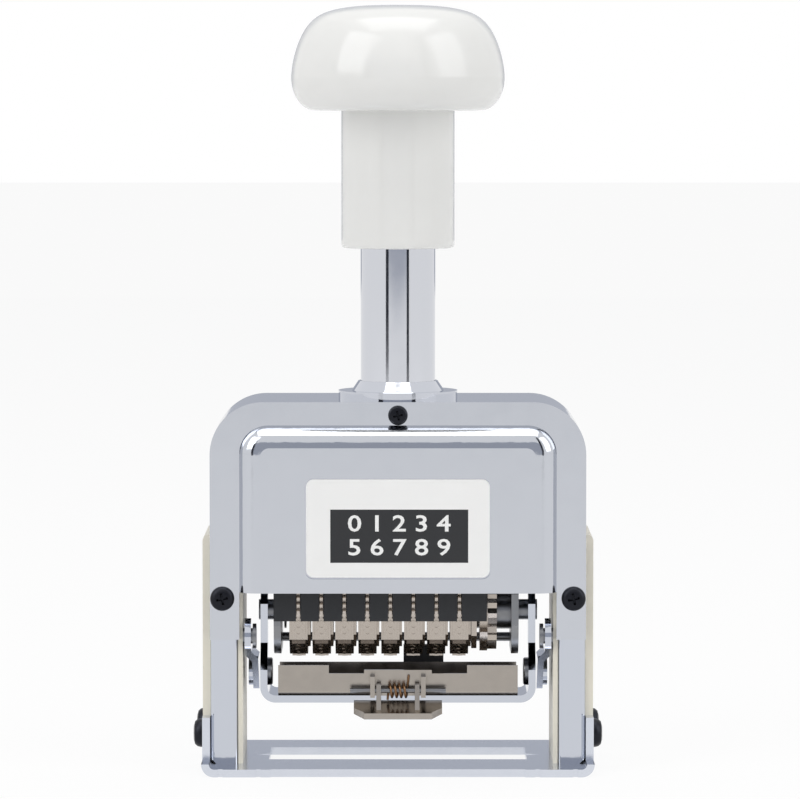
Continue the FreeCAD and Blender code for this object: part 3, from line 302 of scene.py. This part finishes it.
# Label: a white printed plate lies in the panel's recess. The maker's print is left off: the
# dark field carries plain figures, as a printed sample of the wheels would.
label_white = moulded("white printed label", "#f3f3f2", 0.3, 900, 0.05)
tree = label_white.node_tree
shader = tree.nodes["Principled BSDF"]
place = add_node(tree, "ShaderNodeTexCoord", {}, {}).outputs["Object"]
spot = add_node(tree, "ShaderNodeSeparateXYZ", {}, {"Vector": place})
field_middle = (0.25 * MM, 46.2 * MM)
field_half = (13.3 * MM, 5.15 * MM)
wide = add_node(
    tree,
    "ShaderNodeMath",
    {"operation": "COMPARE", 1: field_middle[0], 2: field_half[0]},
    {0: spot.outputs["X"]},
)
high = add_node(
    tree,
    "ShaderNodeMath",
    {"operation": "COMPARE", 1: field_middle[1], 2: field_half[1]},
    {0: spot.outputs["Z"]},
)
inked = add_node(
    tree,
    "ShaderNodeMath",
    {"operation": "MULTIPLY"},
    {0: wide.outputs["Value"], 1: high.outputs["Value"]},
)
white = shader.inputs["Base Color"].links[0].from_socket
print_colour = add_node(
    tree,
    "ShaderNodeMixRGB",
    {"Color2": linear("#232427")},
    {"Fac": inked.outputs["Value"], "Color1": white},
)
tree.links.new(print_colour.outputs["Color"], shader.inputs["Base Color"])
dress(label_white, "label_plate")


def figure(text, tall, wide_scale, thick):
    """One plain figure as a solid mesh, centred, in the plane of the drawing."""
    bpy.ops.object.select_all(action="DESELECT")
    bpy.ops.object.text_add(location=(0, 0, 0))
    sign = bpy.context.object
    sign.data.body = text
    sign.data.size = tall * MM / 0.7
    sign.data.align_x = "CENTER"
    sign.data.align_y = "CENTER"
    sign.data.extrude = thick * MM / 2
    sign.data.offset = 0.02 * tall * MM
    sign.data.resolution_u = 3
    select_only(sign)
    bpy.ops.object.convert(target="MESH")
    sign = bpy.context.object
    sign.scale = (wide_scale, 1, 1)
    bpy.ops.object.transform_apply()
    return sign


figure_white = moulded("white label ink", "#f1f1f0", 0.35, 900, 0.05)
figures = []
row_spacing = 4.6
print_depth = -18.115
for row, words in enumerate(("0 1 2 3 4", "5 6 7 8 9")):
    sign = figure(words, 3.1, 1.25, 0.03)
    sign.rotation_euler = (quarter_turn, 0, 0)
    row_place = field_middle[1] + (0.5 - row) * row_spacing * MM
    sign.location = (field_middle[0], print_depth * MM, row_place)
    figures.append(sign)
select_only(figures[0])
figures[1].select_set(True)
bpy.ops.object.join()
figures[0].name = "label_figures"
fit(figures[0], "frame", "label", figure_white)

# Plunger and handle: a ground steel tube in hard chrome slides in the bush. On its top end sit a moulded
# sleeve and a mushroom knob of glossy white plastic, as the palm presses on it.
shaft_chrome = plate_metal("hard chrome on ground tube", "#d3d5db", 0.06, 0.02, 500)
dress(shaft_chrome, "plunger_tube", "knob_stud")
handle_white = moulded("white glossy handle moulding", "#eaeae8", 0.12, 300, 0.04)
knob_foot = 128
sleeve_foot = 101.25
tube_fit = 7.35
sleeve = turned(
    "handle_sleeve_moulding",
    [
        (tube_fit, knob_foot),
        (tube_fit, sleeve_foot),
        (10.4, sleeve_foot),
        (10.85, sleeve_foot + 0.15),
        (11.03, sleeve_foot + 0.65),
        (11.05, sleeve_foot + 1.75),
        (11.05, knob_foot),
        (tube_fit, knob_foot),
    ],
    96,
)
fit(sleeve, "plunger", "handle_plastic", handle_white, "handle_sleeve")
knob = turned(
    "handle_knob_moulding",
    [
        (tube_fit, knob_foot),
        (16.4, knob_foot),
        (17.9, 128.3),
        (19.6, 129.8),
        (20.7, 132.2),
        (20.9, 134.4),
        (20.88, 134.7),
        (20.7, 137),
        (19.9, 140.3),
        (18.6, 143.4),
        (16.7, 145.9),
        (13.9, 147.5),
        (9, 148.4),
        (4, 148.6),
        (0, 148.6),
    ],
    64,
)
select_only(knob)
smooth = knob.modifiers.new("rounding", "SUBSURF")
smooth.levels = smooth.render_levels = 2
bpy.ops.object.modifier_apply(modifier="rounding")
fit(knob, "plunger", "handle_plastic", handle_white, "handle_knob")

# Return spring: wound from 1.1 mm wire, it stands in the tube on the cross bar. The
# plunger's plug presses its upper end down with the handle.
spring_steel = plate_metal("bright spring wire", "#b2b3b5", 0.2, 0.02, 900)
turns = 22
first_wire = 52.15
last_wire = 116.4
bpy.ops.object.select_all(action="DESELECT")
bpy.ops.mesh.primitive_circle_add(
    vertices=10,
    radius=0.55 * MM,
    location=(4.8 * MM, 0, first_wire * MM),
    rotation=(quarter_turn, 0, 0),
)
wound = bpy.context.object
wound.name = "return_spring_wire"
bpy.ops.object.transform_apply()
winding = wound.modifiers.new("winding", "SCREW")
winding.axis = "Z"
winding.screw_offset = (last_wire - first_wire) * MM / turns
winding.iterations = turns
winding.steps = winding.render_steps = 24
bpy.ops.object.modifier_apply(modifier="winding")
bpy.ops.object.mode_set(mode="EDIT")
bpy.ops.mesh.select_all(action="DESELECT")
bpy.ops.mesh.select_non_manifold()
bpy.ops.mesh.edge_face_add()
bpy.ops.mesh.select_all(action="SELECT")
bpy.ops.mesh.normals_make_consistent(inside=False)
bpy.ops.object.mode_set(mode="OBJECT")
fit(wound, "frame", "steel", spring_steel, "return_spring")
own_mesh(wound)

# Head: inside the legs a riveted head of plain steel plates carries the wheel shaft, a black
# comb that keeps the wheels apart, and the pawls.
plain_steel = plate_metal("oiled plain steel", "#8e8f92", 0.3, 0.05, 700)
dress(plain_steel, "spring_bar", "link_pivots", "head_bridge", "wheel_shaft", "tie_rods")
dress(plain_steel, "left_head_plate", "right_head_plate", "end_spacer")
dress(plain_steel, "left_rocker_arm", "right_rocker_arm", "rocker_rod")
comb_black = moulded("black comb plastic", "#26282c", 0.45, 1500, 0.2)
dress(comb_black, "detent_comb", "tray_catch")

# Figure wheels: eight ten-sided wheels of nickel plated brass, each with raised figures, reversed so
# that they print the right way round, and a ratchet on its side.
nickel = plate_metal("nickel plated brass", "#b9b0a7", 0.24, 0.05, 700)
dress(nickel, "detent_pawls", "pawl_fingers", "repeat_ratchet", "repeat_cam", "repeat_dial")
axle_height = 30.2 * MM
face = 8.93 * MM
first_wheel = -19.4 * MM
wheel_pitch = 4.48 * MM
ring = []
for number in range(10):
    sign = figure(str(number), 3.3, 0.85, 0.14)
    angle = math.radians(36 * number - 90)
    sign.scale = (1, -1, 1)
    sign.rotation_euler = (angle - quarter_turn, 0, 0)
    sign.location = (0, face * math.cos(angle), axle_height + face * math.sin(angle))
    select_only(sign)
    bpy.ops.object.transform_apply()
    bpy.ops.object.mode_set(mode="EDIT")
    bpy.ops.mesh.select_all(action="SELECT")
    bpy.ops.mesh.remove_doubles(threshold=0.000002)
    bpy.ops.mesh.normals_make_consistent(inside=False)
    bpy.ops.object.mode_set(mode="OBJECT")
    ring.append(sign)
select_only(ring[0])
for sign in ring[1:]:
    sign.select_set(True)
bpy.ops.object.join()
for number in range(1, 9):
    copy = ring[0].copy()
    copy.data = ring[0].data.copy()
    copy.name = "wheel_figures_%d" % number
    bpy.context.scene.collection.objects.link(copy)
    copy.location = (first_wheel + wheel_pitch * (number - 1), 0, 0)
    fit(copy, "wheel_%d" % number, "nickel", nickel)
    dress(nickel, "figure_wheel_%d" % number)
bpy.data.objects.remove(ring[0])

# Ink frame: a bent chromed strap carries the nickel ink tray, and two cranked links swing it clear
# as the head comes down. The spring clip at its front holds the pad's tray.
dress(leg_chrome, "ink_bracket", "left_ink_link", "right_ink_link")
tray_nickel = plate_metal("nickel plated tray sheet", "#aaa39b", 0.2, 0.15, 500)
dress(tray_nickel, "ink_tray", "clip_bracket", "clip_lever")
dress(plain_steel, "ink_rivets", "clip_pin")
bronze = plate_metal("bronze spring wire", "#8a6a4e", 0.3, 0.05, 900)
dress(bronze, "clip_spring")

# Studio: a white sweep in a small studio: broad soft lamps to both sides and above, and dark
# screens that only the bright metal sees, as a photographer sets them for chrome.


def studio_sheet(name, across, up, place, turn):
    """A flat sheet of the studio, which isn't part of the machine."""
    bpy.ops.object.select_all(action="DESELECT")
    bpy.ops.mesh.primitive_plane_add(size=1, location=place, rotation=turn)
    sheet = bpy.context.object
    sheet.name = name
    sheet.scale = (across, up, 1)
    return sheet


def direct_rays(tree):
    """1 for what the camera sees, straight or in a reflection or through glass."""
    rays = add_node(tree, "ShaderNodeLightPath", {}, {})
    seen = add_node(
        tree,
        "ShaderNodeMath",
        {"operation": "MAXIMUM"},
        {0: rays.outputs["Is Camera Ray"], 1: rays.outputs["Is Glossy Ray"]},
    )
    return add_node(
        tree,
        "ShaderNodeMath",
        {"operation": "MAXIMUM"},
        {0: seen.outputs["Value"], 1: rays.outputs["Is Transmission Ray"]},
    )


floor = studio_sheet("studio_floor", 12, 12, (0, 0, 0), (0, 0, 0))
white_floor, tree, shader, place = start_material("white studio sweep")
shader.inputs["Base Color"].default_value = linear("#f2f2f2")
shader.inputs["Roughness"].default_value = 0.6
seen = direct_rays(tree)
share = add_node(tree, "ShaderNodeMath", {"operation": "MULTIPLY", 1: 0.9}, {0: seen.outputs["Value"]})
glow = add_node(tree, "ShaderNodeEmission", {"Color": (1, 1, 1, 1), "Strength": 1}, {})
both = add_node(
    tree,
    "ShaderNodeMixShader",
    {},
    {0: share.outputs["Value"], 1: shader.outputs["BSDF"], 2: glow.outputs["Emission"]},
)
tree.links.new(both.outputs["Shader"], tree.nodes["Material Output"].inputs["Surface"])
floor.data.materials.append(white_floor)


def screen(name, level, across, up, place, turn):
    """A grey screen that shows only as a reflection in the bright metal."""
    sheet = studio_sheet(name, across, up, place, turn)
    material, tree, shader, _ = start_material(name + " cloth")
    grey = add_node(tree, "ShaderNodeEmission", {"Color": linear(level), "Strength": 1}, {})
    tree.links.new(grey.outputs["Emission"], tree.nodes["Material Output"].inputs["Surface"])
    sheet.data.materials.append(material)
    sheet.visible_camera = False
    sheet.visible_diffuse = False
    sheet.visible_shadow = False
    sheet.visible_transmission = False


upright = quarter_turn
screen("front_screen", "#b2b6c0", 2.4, 1.5, (0.0, -2.2, 0.45), (upright, 0, 0))
screen("left_dark_strip", "#2c2f36", 0.22, 2.0, (-0.75, -1.15, 0.6), (upright, 0, math.radians(-40)))
screen("right_dark_strip", "#2c2f36", 0.16, 2.0, (0.62, -1.05, 0.6), (upright, 0, math.radians(35)))
screen("back_screen", "#b2b6c0", 2.4, 1.5, (0.0, 2.2, 0.45), (upright, 0, 0))


def soft_lamp(name, power, across, up, place, aim):
    """A large soft box, turned towards the machine."""
    lamp = bpy.data.lights.new(name, "AREA")
    lamp.shape = "RECTANGLE"
    lamp.size = across
    lamp.size_y = up
    lamp.energy = power
    holder = bpy.data.objects.new(name, lamp)
    bpy.context.scene.collection.objects.link(holder)
    holder.location = place
    direction = [goal - start for goal, start in zip(aim, place)]
    flat = math.hypot(direction[0], direction[1])
    yaw = math.atan2(direction[1], direction[0]) - quarter_turn
    holder.rotation_euler = (math.atan2(flat, -direction[2]), 0, yaw)


aim = (0, 0, 0.07)
soft_lamp("left_soft_box", 7, 0.9, 1.1, (-0.95, -0.75, 0.85), aim)
soft_lamp("right_soft_box", 5, 0.8, 1.1, (1.05, -0.55, 0.7), aim)
soft_lamp("overhead_soft_box", 5, 1.0, 0.8, (0.0, -0.1, 1.2), aim)

world = bpy.data.worlds.new("white room")
bpy.context.scene.world = world
world.use_nodes = True
tree = world.node_tree
room = tree.nodes["Background"]
seen = direct_rays(tree)
level = add_node(
    tree,
    "ShaderNodeMapRange",
    {"To Min": 0.42, "To Max": 1.0},
    {"Value": seen.outputs["Value"]},
)
room.inputs["Color"].default_value = (1, 1, 1, 1)
tree.links.new(level.outputs["Result"], room.inputs["Strength"])

camera = bpy.data.objects.new("camera", bpy.data.cameras.new("camera"))
bpy.context.scene.collection.objects.link(camera)
camera.data.sensor_width = 36
camera.data.lens = 230
# It stands a metre off at the height of the knob, aimed a little down at the middle.
distance = 1.0
drop = 0.0615
camera.location = (0.0004, -distance, 0.133)
camera.rotation_euler = (quarter_turn - math.atan2(drop, distance), 0, 0)
bpy.context.scene.camera = camera
bpy.context.scene.view_settings.view_transform = "Standard"
